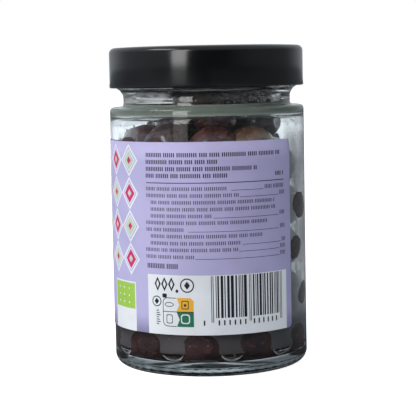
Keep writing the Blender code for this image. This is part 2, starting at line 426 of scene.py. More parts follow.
def measure_setting(name, description, default, unit="LENGTH"):
    return FloatProperty(name=name, description=description, default=default, unit=unit)


class OliveJarSettings(bpy.types.PropertyGroup):
    """Sizes and colours of the jar, its lid, its label and what is in it."""

    glass_colour: colour_setting("Glass colour", "Faint tint of the clear glass", (0.955, 0.975, 0.968))
    glass_steps: count_setting("Glass steps", "Faces round the jar", 224, 32, 512)
    stipple_depth: measure_setting("Stipple depth", "Depth of the gripping marks on the heel", 0.00012)
    wall_wave: measure_setting("Wall wave", "How unevenly the inside of the glass is blown", 0.00005)
    lid_colour: colour_setting("Lid colour", "Lacquer of the lid", (0.0045, 0.0048, 0.0055))
    lid_steps: count_setting("Lid steps", "Faces round the lid", 192, 32, 512)
    paper_colour: colour_setting("Paper colour", "Ground colour of the label", (0.485, 0.452, 0.700))
    white_ink: colour_setting("White fields", "White parts of the label", (0.80, 0.82, 0.84))
    dark_ink: colour_setting("Dark ink", "Bars and marks", (0.012, 0.010, 0.016))
    fine_ink: colour_setting("Fine ink", "Rows of fine print", (0.050, 0.036, 0.085))
    accent_ink: colour_setting("Accent ink", "Strong red-pink of the pattern", (0.62, 0.022, 0.16))
    pale_ink: colour_setting("Pale ink", "Soft grey-green of the pattern", (0.54, 0.64, 0.50))
    green_ink: colour_setting("Green ink", "Square on the left", (0.36, 0.60, 0.075))
    orange_ink: colour_setting("Orange ink", "Upper field of the sorting box", (0.83, 0.44, 0.03))
    deep_green_ink: colour_setting("Deep green ink", "Lower field of the sorting box", (0.006, 0.17, 0.09))
    olive_segments: count_setting("Olive segments", "Faces round each olive", 40, 12, 96)
    olive_wrinkle: measure_setting("Olive wrinkle", "Height of the wrinkles in the skin", 0.00013)
    olive_bite: measure_setting(
        "Olive contact", "How far an olive reaches into the wall where it is pressed flat", 0.00012)
    juice_level: measure_setting("Juice level", "Height of the pool of juice above the base", 0.0064)
    key_power: measure_setting("Key power", "Softbox on the left of the camera", 6.0, "POWER")
    side_power: measure_setting("Side power", "Large panel on the left", 4.4, "POWER")
    glint_power: measure_setting("Glint power", "Strip high on the left, for thin glints", 2.2, "POWER")


def settings():
    return bpy.context.scene.olive_jar


# Materials.

def glass_material():
    look = Look("clear_glass")
    across, _, height = look.axes()
    wave = look.blotches(look.place(1, 1, 0.45), 70.0, 1.5, 0.2, 0.8)["Height"]
    pits = look.specks(420.0, 0.10, 0.05)
    wear = look.mask(900.0, 2.0, 0.52, 0.75)
    ring = look.band(height, RING_LOW, 0.0952, 0.0966, 0.0972)
    base = look.spread(height, 0.0065, 0.0053)
    # Painted shade darkens the thick base in mottled patches, most of all on the right, but for a lighter,
    # clearer stretch in the middle of its front.
    base_shade = look.mask(75.0, 3.0, 0.40, 0.62, 1, 1, 2.5)
    base_shade = look.times(base_shade, look.spread(across, 0.008, 0.016, 1.0, 0.0))
    base_shade = look.mixed(base_shade, (0.045, 0.052, 0.053), (0.24, 0.28, 0.275))
    clear = look.band(across, -0.0125, -0.0100, 0.0070, 0.0115)
    tint = look.mixed(ring, settings().glass_colour, (0.60, 0.68, 0.62))
    tint = look.mixed(base, tint, look.mixed(clear, base_shade, (0.42, 0.47, 0.48)))
    rough = look.scaled(look.times(wear, look.spread(height, 0.0012, 0.0002)), 0.3, 0.008)
    rough = look.scaled(ring, 0.05, look.scaled(base, 0.04, rough))
    soft = look.bumped(wave, 0.0003, 0.35)
    look.let_lamps_through()
    return look.finish(
        Base_Color=tint, Transmission_Weight=1.0, IOR=1.5, Roughness=rough,
        Normal=look.bumped(pits, 0.00003, 0.3, soft))


def lid_material():
    look = Look("black_lacquer")
    peel = look.blotches(look.place(), 1500.0, 2.0, 0.3, 0.7)["Height"]
    haze = look.mask(90.0, 4.0, 0.35, 0.75)
    dust = look.specks(520.0, 0.09, 0.10)
    # The side bulges a little, which shapes the reflection on it.
    off = look.maths("SUBTRACT", look.axes()[2], (LID_BOTTOM + LID_TOP) / 2)
    crown = look.bumped(look.times(off, off, -LID_SIDE_CROWN), 1.0)
    return look.finish(
        Base_Color=look.mixed(look.times(dust, 0.25), settings().lid_colour, (0.12, 0.12, 0.13)),
        Roughness=look.scaled(dust, 0.2, look.scaled(haze, 0.04, 0.15)),
        Coat_Weight=0.0, Normal=look.bumped(peel, 0.00002, 0.35, crown))


def paper_material(name, colour, sheen=0.58, lift=0.0):
    """Printed paper: the ink's colour with faint fibres and a low sheen; a lift adds a painted sheen that
    brightens its right side.
    """
    look = Look(name)
    fibre = look.blotches(look.place(1, 1, 2.2), 1400.0, 4.0, 0.35, 0.7)
    cloud = look.mask(60.0, 3.0, 0.3, 0.7)
    fleck = look.specks(900.0, 0.12, 0.06)
    lighter = [min(1.0, c * 1.03 + 0.004) for c in colour]
    tone = look.mixed(cloud, [c * 0.93 for c in colour], lighter)
    # Painted sheen: a lift lightens the ink towards the right.
    if lift:
        right = look.spread(look.axes()[0], 0.002, 0.024, 0.0, lift)
        tone = look.mixed(right, tone, (0.97, 0.98, 0.99))
    tone = look.mixed(look.times(fibre["Mask"], 0.10), tone, [c * 0.8 for c in colour])
    return look.finish(
        Base_Color=look.mixed(look.times(fleck, 0.12), tone, (0.8, 0.8, 0.8)),
        Roughness=look.scaled(fibre["Mask"], 0.08, sheen), Specular_IOR_Level=0.35,
        Normal=look.bumped(fibre["Height"], 0.00002, 0.25))


def olive_material():
    """Wet, wrinkled skin from black-purple to tan, dull where it is pressed against the glass."""
    look = Look("olive_skin")
    tone = look.add("Attribute", attribute_name="tone").outputs["Fac"]
    along = look.add("Attribute", attribute_name="along").outputs["Vector"]
    mottle = look.mask(190.0, 4.0, 0.32, 0.68)
    patch = look.mask(75.0, 3.0, 0.52, 0.66)
    vein = look.blotches(look.stretched(along, 0.35, 1, 1), 420.0, 5.0, 0.56, 0.66)["Mask"]
    pore = look.specks(620.0, 0.20, 0.22, along)
    skin = look.ramp(
        look.scaled(mottle, 0.34, look.maths("SUBTRACT", tone, 0.17)),
        (0.0, (0.013, 0.0065, 0.0095)), (0.3, (0.034, 0.0105, 0.0140)), (0.55, (0.064, 0.0190, 0.0165)),
        (0.78, (0.098, 0.045, 0.032)), (1.0, (0.165, 0.095, 0.060)),
    )
    x, y, z = look.axes()
    away = look.maths("SQRT", look.maths("ADD", look.times(x, x), look.times(y, y)))
    pressed = look.spread(away, INNER_RADIUS - 0.00004, INNER_RADIUS + 0.00003)
    dry = look.times(pressed, look.spread(z, 0.018, 0.022, 0.0, 0.28))
    layers = (
        (look.times(patch, 0.35), (0.030, 0.010, 0.012)), (look.times(vein, 0.22), (0.22, 0.14, 0.085)),
        (look.times(pore, 0.45), (0.42, 0.34, 0.27)), (dry, (0.090, 0.072, 0.078)),
    )
    for share, colour in layers:
        skin = look.mixed(share, skin, colour)
    film = look.mask(260.0, 2.0, 0.3, 0.7)
    crease = look.blotches(look.stretched(along, 0.45, 1, 1), 700.0, 5.0, 0.3, 0.7)["Height"]
    return look.finish(
        Base_Color=skin, Roughness=look.scaled(pressed, 0.5, look.scaled(film, 0.12, 0.24)),
        Coat_Weight=look.scaled(pressed, -0.85, 0.85), Coat_Roughness=0.09,
        Normal=look.bumped(crease, 0.00012, 0.7))


def juice_material():
    """Dark, cloudy juice with fine bits in it, as it looks pressed against the glass."""
    look = Look("dark_juice")
    cloud = look.mask(160.0, 4.0, 0.3, 0.7)
    bits = look.specks(520.0, 0.22, 0.10)
    colour = look.mixed(cloud, (0.016, 0.0070, 0.0085), (0.062, 0.0240, 0.0250))
    return look.finish(
        Base_Color=look.mixed(look.times(bits, 0.55), colour, (0.20, 0.12, 0.06)),
        Roughness=look.scaled(cloud, 0.1, 0.4), Specular_IOR_Level=0.15,
        Normal=look.bumped(cloud, 0.0001, 0.3))


def patchy_material(name, blotch, first, second, rough, change):
    """Two colours in soft patches; a blotch is its scale, detail, low and high."""
    look = Look(name)
    patch = look.mask(*blotch)
    return look.finish(
        Base_Color=look.mixed(patch, first, second), Roughness=look.scaled(patch, change, rough))


def haze_material():
    """The film of oil and moisture on the inside of the glass, thick in some places; in the neck, the ring
    and the low band its colour also holds painted light and shade.
    """
    look = Look("oily_haze")
    streak = look.mask(330.0, 3.0, 0.35, 0.70, 1, 1, 0.10)
    cloud = look.mask(120.0, 4.0, 0.30, 0.70, 1, 1, 0.6)
    wavy = look.mask(150.0, 2.0, 0.38, 0.60, 1, 1, 3.2)
    drop = look.specks(520.0, 0.30, 0.12)
    across, depth, height = look.axes()
    # A thin film all over, clearer at the top of the wall and smoother at the bottom.
    grain = look.spread(height, 0.016, 0.024, 0.12, 1.0)
    cover = look.scaled(look.times(streak, cloud, grain), 0.16, 0.045)
    cover = look.scaled(look.times(drop, grain), 0.08, cover)
    cover = look.times(cover, look.spread(height, 0.072, 0.086, 1.0, 0.09))
    # Wavy in the neck, on the left; its pale colour is partly film and partly a painted reflection of the
    # bright background.
    left = look.spread(across, -0.0165, -0.0105, 1.0, 0.06)
    neck = look.times(look.spread(height, 0.0982, 0.0992), left)
    cover = look.scaled(neck, look.scaled(wavy, 0.48, 0.28), cover)
    # Nearly opaque in a ring under the shoulder.
    ring = look.band(height, RING_LOW, 0.0944, 0.0975, RING_HIGH)
    cover = look.scaled(ring, 0.82, cover)
    # Cloudy beside the label, most of all in front.
    window = look.times(
        look.spread(across, 0.0262, 0.0278), look.spread(height, 0.083, 0.091, 1.0, 0.38),
        look.spread(depth, -0.004, 0.008, 1.0, 0.45))
    cover = look.scaled(window, look.scaled(cloud, 0.22, 0.43), cover)
    # Thick in the gaps between the lowest olives.
    low = look.spread(height, 0.0165, 0.0225, 1.0, 0.0)
    cover = look.maths("MINIMUM", look.scaled(low, 0.80, cover), 0.92)
    # Painted light: the low band's colour is lighter and bluer towards the right, where less light falls.
    dim = look.mixed(look.spread(across, 0.008, 0.022), (0.078, 0.069, 0.073), (0.120, 0.128, 0.140))
    # Painted shade: the ring's green-grey is darker on the left, against the stronger light from there.
    green = look.mixed(look.spread(across, -0.022, -0.002), (0.180, 0.215, 0.190), (0.25, 0.29, 0.255))
    colour = look.mixed(window, (0.55, 0.57, 0.57), (0.48, 0.50, 0.53))
    # The neck's pale tint is partly a painted reflection.
    for mask, tint in ((neck, (0.80, 0.83, 0.84)), (low, dim), (ring, green)):
        colour = look.mixed(mask, colour, tint)
    return look.finish(Base_Color=colour, Roughness=0.4, Alpha=cover)


def drop_material():
    look = Look("clear_drops")
    film = look.mask(900.0, 2.0, 0.3, 0.7)
    look.let_lamps_through()
    return look.finish(
        Base_Color=(0.93, 0.92, 0.86), Transmission_Weight=1.0, IOR=1.38,
        Roughness=look.scaled(film, 0.05, 0.01))


# The glass jar.

class OLIVEJAR_OT_glass(bpy.types.Operator):
    """Turn the clear glass jar, with its neck ring, round shoulder and gripping marks on the heel."""

    bl_idname = "olive_jar.glass"
    bl_label = "Glass jar"

    def execute(self, context):
        given = settings()
        under = NECK_RADIUS + RIM_CORNER
        neck = [
            (NECK_RADIUS - RIM_CORNER, RIM_HEIGHT),
            (NECK_RADIUS - RIM_CORNER * 0.3, RIM_HEIGHT - RIM_CORNER * 0.3),
            (NECK_RADIUS, RIM_HEIGHT - RIM_CORNER),
            (NECK_RADIUS, BEAD_TOP + RIM_CORNER),
            (NECK_RADIUS + RIM_CORNER, BEAD_TOP + RIM_CORNER * 0.4),
        ]
        bead = arc((BEAD_RADIUS - 0.0004, (BEAD_TOP + BEAD_BOTTOM) / 2), 0.0004, 90, -90, 6)
        below = [
            (under + 0.0006, BEAD_BOTTOM - NECK_FLARE * 0.35),
            (under, BEAD_BOTTOM - NECK_FLARE),
            (NECK_RADIUS, BEAD_BOTTOM - 2 * NECK_FLARE),
            (NECK_RADIUS, SHOULDER_HEIGHT + NECK_FLARE),
        ]
        root = (NECK_RADIUS + NECK_FLARE, SHOULDER_HEIGHT + NECK_FLARE)
        below += arc(root, NECK_FLARE, 180, 270, 5)[1:]
        turn = (BODY_RADIUS - SHOULDER_CORNER, SHOULDER_HEIGHT - SHOULDER_CORNER)
        shoulder = arc(turn, SHOULDER_CORNER, 90, 0, 9)
        heel = [(BODY_RADIUS, HEEL_HEIGHT)]
        heel += arc((BODY_RADIUS - 0.0042, 0.0042), 0.0042, 0, -78, 9)[1:]
        heel = [(r, max(z, 0.0)) for r, z in heel] + [(BASE_RING_OUTER, 0.0)]
        underside = [
            (BASE_RING_INNER, 0.0), (BASE_RING_INNER - 0.0008, PUSH_UP * 0.22),
            (BASE_RING_INNER - HEEL_CORNER, PUSH_UP / 2), (0.0, PUSH_UP),
        ]
        rim = [
            (MOUTH_RADIUS, RIM_HEIGHT - RIM_CORNER),
            (MOUTH_RADIUS + RIM_CORNER * 0.3, RIM_HEIGHT - RIM_CORNER * 0.3),
            (MOUTH_RADIUS + RIM_CORNER, RIM_HEIGHT),
        ]
        line = inside_profile() + rim + neck + bead + below + shoulder + heel + underside
        jar = spun(fine_line(line, 0.0035), given.glass_steps)
        self.roughen(jar, given)
        finish_piece("glass_jar", jar, [glass_material()], node="jar", sharp=60)
        return {"FINISHED"}

    def roughen(self, jar, given):
        """Waves on the inside of the wall, and small gripping marks cut into the heel."""
        for v in jar.verts:
            away = math.hypot(v.co.x, v.co.y)
            if away < 1e-6:
                continue
            if abs(away - INNER_RADIUS) < 0.0002 and 0.009 < v.co.z < 0.093:
                wave = noise.noise(Vector((v.co.x, v.co.y, v.co.z * 0.6)) * 85)
                self.press(v, away, given.wall_wave * wave)
            if STIPPLE_LOW < v.co.z < STIPPLE_HIGH and away > BASE_RING_OUTER:
                column = round(turn_of(v.co) / math.tau * given.glass_steps)
                row = round(v.co.z / STIPPLE_ROW)
                if (column // 2 + row) % 2:
                    self.press(v, away, given.stipple_depth)

    def press(self, v, away, depth):
        v.co.x *= (away - depth) / away
        v.co.y *= (away - depth) / away


# The lid.

class OLIVEJAR_OT_lid(bpy.types.Operator):
    """Turn the deep metal lid, with its button, sunk panel and rolled hem."""

    bl_idname = "olive_jar.lid"
    bl_label = "Twist-off lid"

    def execute(self, context):
        panel = LID_TOP - PANEL_DEPTH
        side = LID_RADIUS - HEM_PROUD
        top = [
            (0.0, panel + BUTTON_RISE),
            (BUTTON_RADIUS - 0.0006, panel + BUTTON_RISE),
            (BUTTON_RADIUS, panel + BUTTON_RISE * 0.85),
            (BUTTON_RADIUS + PANEL_SLOPE * 0.8, panel + 0.00003),
            (BUTTON_RADIUS + PANEL_SLOPE, panel),
            (PANEL_RADIUS - 0.0004, panel),
            (PANEL_RADIUS, panel + 0.00015),
            (PANEL_RADIUS + PANEL_SLOPE * 0.9, LID_TOP - LID_CROWN),
            (PANEL_RADIUS + PANEL_SLOPE * 1.4, LID_TOP - LID_CROWN * 0.3),
            (PANEL_RADIUS + 2.5 * PANEL_SLOPE, LID_TOP),
        ]
        corner = arc((side - LID_CORNER, LID_TOP - LID_CROWN - LID_CORNER), LID_CORNER, 90, 0, 10)
        curl = HEM_HEIGHT / 2
        hem = [(side, LID_BOTTOM + HEM_HEIGHT), (LID_RADIUS, LID_BOTTOM + curl)]
        hem += arc((LID_RADIUS - 0.0005, LID_BOTTOM + 0.0005), 0.0005, 0, -90, 5)
        hem += [(LID_RADIUS - HEM_WALL, LID_BOTTOM + up) for up in (0.0002, HEM_HEIGHT)]
        under = LID_TOP - LID_WALL
        inside = [
            (side - LID_WALL, LID_BOTTOM + HEM_HEIGHT + HEM_WALL - LID_WALL),
            (side - LID_WALL, LID_TOP - LID_CORNER),
            (side - LID_CORNER, under),
            (PANEL_RADIUS + PANEL_SLOPE, under),
            (PANEL_RADIUS, panel - LID_WALL),
            (0.0, panel - LID_WALL),
        ]
        lid = spun(fine_line(top + corner + hem + inside, 0.004), settings().lid_steps)
        finish_piece("lid_shell", lid, [lid_material()], node="lid", sharp=40)
        return {"FINISHED"}


# The paper label and its print. Places on it are millimetres: s along the paper, to the right from
# the front, and z up from the base.

INKS = ("white", "dark", "accent", "pale", "green", "orange", "deep_green", "edge", "ground", "fine")
WHITE, DARK, ACCENT, PALE, GREEN, ORANGE, DEEP_GREEN, EDGE_SHADOW, GROUND, FINE = range(10)
LABEL_LEFT_MM = (LABEL_RIGHT_EDGE - LABEL_SPAN) * PRINT_RADIUS
LABEL_RIGHT_MM = LABEL_RIGHT_EDGE * PRINT_RADIUS
LABEL_BOTTOM_MM = LABEL_BOTTOM / MM


def colour_shape(verts, ink):
    for face in {f for v in verts for f in v.link_faces}:
        face.material_index = ink


def print_bar(sheet, ink, layer, left, low, right, high, corner=0.0):
    """A flat bar between two corners, in millimetres, with round corners if they are given."""
    made = bmesh.ops.create_grid(sheet, x_segments=1, y_segments=1, size=0.5)["verts"]
    bmesh.ops.scale(sheet, vec=(right - left, high - low, 1.0), verts=made)
    bmesh.ops.translate(sheet, vec=((left + right) / 2, (low + high) / 2, layer), verts=made)
    colour_shape(made, ink)
    if corner:
        bmesh.ops.bevel(
            sheet, geom=made, offset=corner, offset_type="OFFSET", segments=4, profile=0.5,
            affect="VERTICES", material=-1,
        )


def print_disc(sheet, ink, layer, s, z, wide, tall, sides=28):
    """A flat disc, oval or, with four sides, diamond."""
    made = bmesh.ops.create_circle(sheet, cap_ends=True, radius=0.5, segments=sides)["verts"]
    bmesh.ops.scale(sheet, vec=(wide, tall, 1.0), verts=made)
    bmesh.ops.translate(sheet, vec=(s, z, layer), verts=made)
    colour_shape(made, ink)


def print_diamonds(sheet, layer, s, z, *steps):
    """Diamonds on one another, each a layer higher; a step is the ink, the width and the height."""
    for i, (ink, wide, tall) in enumerate(steps):
        print_disc(sheet, ink, layer + i, s, z, wide, tall, 4)


def print_ring(sheet, layer, s, z, wide, tall, line):
    """A dark ring, filled with white."""
    print_disc(sheet, DARK, layer, s, z, wide, tall)
    print_disc(sheet, WHITE, layer + 1, s, z, wide - 2 * line, tall - 2 * line)


def print_words(sheet, draw, left, right, z, tall, pitch, line):
    """A row of like upright ticks in bunches of uneven length: fine print that says nothing."""
    s = left
    while s < right - pitch:
        for _ in range(draw.randint(4, 12)):
            if s + line > right:
                break
            print_bar(sheet, FINE, 2, s, z, s + line, z + tall)
            s += pitch
        s += pitch * 0.8


# The ticks' pitch and width in millimetres.
BOLD_TICKS = (0.76, 0.46)
FINE_TICKS = (0.68, 0.32)

# Rows of the front's fine print: where they start and end and their height, then where the leader rule
# starts and ends and the value starts.
BOLD_ROWS = ((-23.9, 29.3, 79.75), (-24.0, 3.4, 77.25), (-24.0, 18.5, 74.75), (-24.1, 8.0, 72.3))
FINE_ROWS = (
    (-24.0, 7.9, 67.75, 8.2, 20.8, 21.4), (-24.0, 11.0, 65.3, 11.3, 27.8, 28.4),
    (-22.1, 26.1, 62.85, 0, 0, 0), (-22.2, 26.4, 60.4, 0, 0, 0),
    (-22.2, 1.2, 58.0, 1.6, 27.8, 28.4), (-24.3, 23.2, 55.55, 0, 0, 0),
    (-24.3, -8.1, 53.1, -7.6, 27.8, 28.5), (-22.4, 20.3, 50.7, 0, 0, 0),
    (-22.5, 11.7, 48.2, 12.1, 28.7, 29.3), (-24.6, 10.3, 45.8, 10.7, 27.9, 28.5),
    (-24.6, -5.6, 43.3, -5.1, 27.9, 28.5),
)


def print_facts(sheet, draw):
    """The block of fine print: bold heading rows, a rule, and rows with leader lines and values."""
    for left, right, z in BOLD_ROWS:
        print_words(sheet, draw, left, right, z, 1.5, *BOLD_TICKS)
    print_words(sheet, draw, 26.4, 31.2, 72.2, 1.5, *BOLD_TICKS)
    print_bar(sheet, FINE, 2, -24.0, 70.35, 30.7, 70.67)
    for left, right, z, start, end, value in FINE_ROWS:
        print_words(sheet, draw, left, right, z, 1.3, *FINE_TICKS)
        if end:
            print_bar(sheet, FINE, 2, start, z - 0.14, end, z + 0.04)
            print_words(sheet, draw, value, 31.2, z, 1.5, *FINE_TICKS)


def print_bars(sheet, draw):
    """Upright bars of random widths in the white panel, over a row of small blocks."""
    module = 0.303
    for left, low in ((0.25, 20.4), (0.86, 20.4), (28.0, 19.9), (28.6, 19.9), (14.3, 20.4), (14.9, 20.4)):
        print_bar(sheet, DARK, 2, left, low, left + module * 0.9, 37.2)
    s = 1.9
    while s < 27.4:
        wide = module * draw.choice((1, 1.3, 2, 2, 3, 3.6))
        if not 13.6 < s < 15.6 and s + wide < 27.7:
            print_bar(sheet, DARK, 2, s, 22.0, s + wide, 37.2)
        s += wide + module * draw.choice((1, 1, 1.4, 2))
    for i in range(13):
        centre = -2.3 if i == 0 else (3.0 + (i - 1) * 1.95 + (1.5 if i > 6 else 0.0))
        print_bar(sheet, DARK, 2, centre - 0.28, 19.3, centre + 0.28, 21.2, corner=0.2)


def print_sorting_box(sheet):
    """A rounded box of four plain fields, two of them coloured, with arrow-shaped sides."""
    left, low, right, high, middle = -17.9, 18.8, -6.1, 29.3, 24.2
    bars = (
        (DARK, 2, left, low, right, high, 1.8),
        (WHITE, 3, left + 0.26, low + 0.26, right - 0.26, high - 0.26, 1.6),
        (ORANGE, 4, -12.4, middle + 0.1, right, high),
        (DEEP_GREEN, 4, -12.4, low, right, middle - 0.1),
        (DARK, 6, left, middle - 0.13, right, middle + 0.13),
        (DARK, 6, -16.5, 19.9, -14.0, 23.2, 0.6),
        (WHITE, 7, -16.22, 20.18, -14.28, 22.92, 0.5),
        (DARK, 6, -10.6, 25.2, -7.9, 28.3, 0.5),
        (ORANGE, 7, -10.3, 25.5, -8.2, 28.0, 0.4),
        (DARK, 8, -9.7, 26.2, -8.8, 27.1, 0.2),
        (WHITE, 6, -10.9, 19.9, -7.5, 23.4, 1.0),
        (DEEP_GREEN, 7, -10.5, 20.3, -7.9, 23.0, 0.8),
        (DARK, 3, -18.0, 29.2, -16.2, 30.7, 0.4),
    )
    for bar in bars:
        print_bar(sheet, *bar)
    print_diamonds(sheet, 5, -12.5, (middle + high) / 2 + 0.1, (WHITE, 2.2, high - middle))
    print_diamonds(sheet, 5, -12.5, (middle + low) / 2 - 0.1, (WHITE, 2.2, middle - low))
    print_diamonds(sheet, 5, right + 0.1, high + 0.1, (WHITE, 2.6, 2.6))
    print_ring(sheet, 6, -15.3, 26.8, 3.6, 1.7, 0.28)


def print_front_panel(sheet, draw):
    """The white panel at the bottom right of the front, with its marks."""
    print_bar(sheet, WHITE, 1, -24.2, LABEL_BOTTOM_MM + 0.05, 31.5, 37.45)
    for s in (-19.9, -17.1, -14.3):
        print_diamonds(sheet, 2, s, 34.1, (DARK, 2.6, 5.2), (WHITE, 1.2, 2.9))
    print_diamonds(sheet, 2, -12.2, 31.7, (DARK, 1.3, 1.6))
    print_ring(sheet, 2, -8.4, 33.8, 5.2, 5.2, 0.45)
    print_diamonds(sheet, 4, -8.4, 33.8, (DARK, 2.2, 3.0))
    print_ring(sheet, 2, -20.4, 27.8, 3.9, 3.9, 0.36)
    print_diamonds(sheet, 4, -20.4, 27.8, (DARK, 1.9, 2.4))
    for i in range(7):
        print_bar(sheet, DARK, 2, -20.6, 24.3 - i * 0.82, -19.3 + 0.3 * (i % 3 - 1), 24.65 - i * 0.82)
    print_sorting_box(sheet)
    print_bars(sheet, draw)


def print_lattice(sheet, left, right, low, high, wide, tall):
    """Rows of white-edged diamonds on the ground colour, with solid ones inside, like a tiled border."""
    rows = round((high - low) / tall)
    columns = round((right - left) / wide)
    for row in range(rows):
        for column in range(columns):
            s = left + (column + 0.5) * wide
            z = high - (row + 0.5) * tall
            inner, core = (ACCENT, PALE) if (row + column) % 2 else (PALE, ACCENT)
            steps = ((WHITE, 1.0), (GROUND, 0.82), (WHITE, 0.70), (inner, 0.60), (core, 0.24))
            print_diamonds(sheet, 2, s, z, *((ink, wide * share, tall * share) for ink, share in steps))


def print_left_fields(sheet):
    """The green square and the small white field left of the front."""
    print_bar(sheet, WHITE, 3, -46.0, LABEL_BOTTOM_MM + 0.05, -30.5, 33.9)
    print_bar(sheet, GREEN, 4, -45.4, 23.9, -31.1, 33.3)
    for row in range(3):
        for column in range(3):
            print_diamonds(sheet, 5, -41.9 + 3.6 * column, 26.0 + 2.6 * row, (WHITE, 1.0, 1.0))


def print_back(sheet, draw):
    """The rest of the label: tiled borders round a plain white field, and more fine print."""
    print_bar(sheet, WHITE, 1, -112.0, 30.0, -66.0, 70.0, corner=5.0)
    print_bar(sheet, ACCENT, 2, -110.6, 31.4, -67.4, 68.6, corner=4.2)
    print_bar(sheet, WHITE, 3, -110.1, 31.9, -67.9, 68.1, corner=3.9)
    for s in (-103.0, -96.0, -89.0, -82.0, -75.0):
        print_diamonds(sheet, 4, s, 50.0, (PALE, 6.2, 17.0), (WHITE, 3.9, 10.6), (ACCENT, 2.3, 6.2))
    for i in range(16):
        for z in (24.0, 76.5):
            ink = ACCENT if i % 2 else PALE
            print_diamonds(sheet, 2, -113.5 + 3.3 * i, z, (WHITE, 3.1, 6.2), (ink, 2.1, 4.2))
    for i in range(17):
        right = -122.0 - (9.0 * draw.random() if i % 4 == 3 else 0.6 * draw.random())
        print_words(sheet, draw, -147.5, right, 78.0 - 2.5 * i, 1.3, *FINE_TICKS)
    print_bar(sheet, WHITE, 1, -147.5, 18.5, -122.0, 33.5, corner=1.0)
    for i in range(4):
        right = -125.0 - 5.0 * draw.random()
        print_words(sheet, draw, -145.5, right, 29.8 - 3.0 * i, 1.3, *FINE_TICKS)


def wrap_sheet(sheet):
    """Bends the flat print round the label: s becomes the turn, and the layer a hair of height."""
    for v in sheet.verts:
        turn = v.co.x / PRINT_RADIUS
        v.co = at_turn(turn, LABEL_OUTSIDE + PRINT_STEP * (v.co.z + 0.5), v.co.y * MM)


class OLIVEJAR_OT_label(bpy.types.Operator):
    """Wrap the paper label round the jar and print it."""

    bl_idname = "olive_jar.label"
    bl_label = "Paper label"

    def execute(self, context):
        self.paper()
        self.print()
        return {"FINISHED"}

    def paper(self):
        sheet = bmesh.new()
        length, height = LABEL_SPAN * LABEL_INSIDE, LABEL_TOP - LABEL_BOTTOM
        bmesh.ops.create_grid(sheet, x_segments=360, y_segments=10, size=0.5)
        bmesh.ops.scale(sheet, vec=(length, height, 1.0), verts=sheet.verts)
        for v in sheet.verts:
            across = length / 2 - abs(v.co.x)
            up = height / 2 - abs(v.co.y)
            if across < PAPER_CORNER and up < 1e-6:
                drop = PAPER_CORNER - math.sqrt(max(0.0, PAPER_CORNER ** 2 - (PAPER_CORNER - across) ** 2))
                v.co.y -= math.copysign(drop, v.co.y)
        middle, halfway = LABEL_RIGHT_EDGE - LABEL_SPAN / 2, (LABEL_BOTTOM + LABEL_TOP) / 2
        for v in sheet.verts:
            v.co = at_turn(middle + v.co.x / LABEL_INSIDE, LABEL_INSIDE, halfway + v.co.y)
        material = paper_material("lavender_paper", tuple(settings().paper_colour))
        paper = finish_piece("label_paper", sheet, [material], node="label", recalculate=False)
        wall = paper.modifiers.new("Paper", "SOLIDIFY")
        wall.thickness = LABEL_OUTSIDE - LABEL_INSIDE
        wall.offset = 1.0

    def print(self):
        given = settings()
        draw = random.Random(7)
        sheet = bmesh.new()
        print_facts(sheet, draw)
        print_words(sheet, draw, -24.2, -11.2, 39.7, 1.8, *BOLD_TICKS)
        print_front_panel(sheet, draw)
        print_lattice(sheet, -58.0, -28.0, 36.3, 84.3, 10.0, 12.0)
        print_left_fields(sheet)
        print_back(sheet, draw)
        # A painted shadow: a thin dark red-brown line along the label's bottom edge.
        print_bar(
            sheet, EDGE_SHADOW, 1, LABEL_LEFT_MM + 2, LABEL_BOTTOM_MM, LABEL_RIGHT_MM - 2, LABEL_BOTTOM_MM + 0.12)
        bmesh.ops.recalc_face_normals(sheet, faces=sheet.faces)
        for face in sheet.faces:
            if face.normal.z < 0:
                face.normal_flip()
        for s in range(math.ceil(LABEL_LEFT_MM), math.floor(LABEL_RIGHT_MM) + 1):
            bmesh.ops.bisect_plane(
                sheet, geom=sheet.verts[:] + sheet.edges[:] + sheet.faces[:], dist=1e-5,
                plane_co=(s, 0, 0), plane_no=(1, 0, 0),
            )
        wrap_sheet(sheet)
        inks = (
            given.white_ink, given.dark_ink, given.accent_ink, given.pale_ink, given.green_ink,
            given.orange_ink, given.deep_green_ink, EDGE_SHADOW_COLOUR, given.paper_colour, given.fine_ink)
        # The white ink gets a painted sheen on its right side.
        materials = [paper_material(f"{name}_ink", tuple(colour), 0.55, 0.85 if name == "white" else 0.0)
                     for name, colour in zip(INKS, inks)]
        finish_piece("label_print", sheet, materials, recalculate=False)


# What is in the jar.

def in_window(turn):
    """Whether a turn from the front lies in the clear window beside the label."""
    return (turn - LABEL_RIGHT_EDGE) % math.tau < math.tau - LABEL_SPAN


def olive_places():
    """Each olive as (centre, turning matrix, length, width): rows against the glass, and a mound on top."""
    draw = random.Random(HEAP_SEED)
    places = []
    for height, lift, count, first, lean in zip(ROW_HEIGHTS, ROW_LIFTS, ROW_COUNTS, ROW_TURNS, ROW_LEANS):
        for i in range(count):
            width = OLIVE_WIDTH * (1 + OLIVE_SIZE_CHANGE * draw.uniform(-1, 1))
            length = OLIVE_LENGTH * (1 + OLIVE_SIZE_CHANGE * draw.uniform(-1, 1))
            turn = math.radians(first + 360 * i / count + ROW_TURN_CHANGE * draw.uniform(-1, 1))
            level = height + ROW_HEIGHT_CHANGE * draw.uniform(-1, 1)
            if not in_window(turn):
                level += lift
            tip = Matrix.Rotation(math.radians(lean * draw.uniform(-1, 1)), 3, "Y")
            more_turn, inwards, rise = SHIFTED_OLIVES.get(len(places), (0, 0, 0))
            turn += math.radians(more_turn)
            level += rise
            away = INNER_RADIUS + WALL_SQUASH - width / 2 - inwards
            centre = at_turn(turn, away, level)
            places.append((centre, Matrix.Rotation(turn, 3, "Z") @ tip, length, width))
    for turn, away, height, heading in MOUND_OLIVES:
        centre = at_turn(math.radians(turn), away, height)
        facing = Matrix.Rotation(math.radians(heading), 3, "Z")
        places.append((centre, facing, OLIVE_LENGTH, OLIVE_WIDTH))
    return places


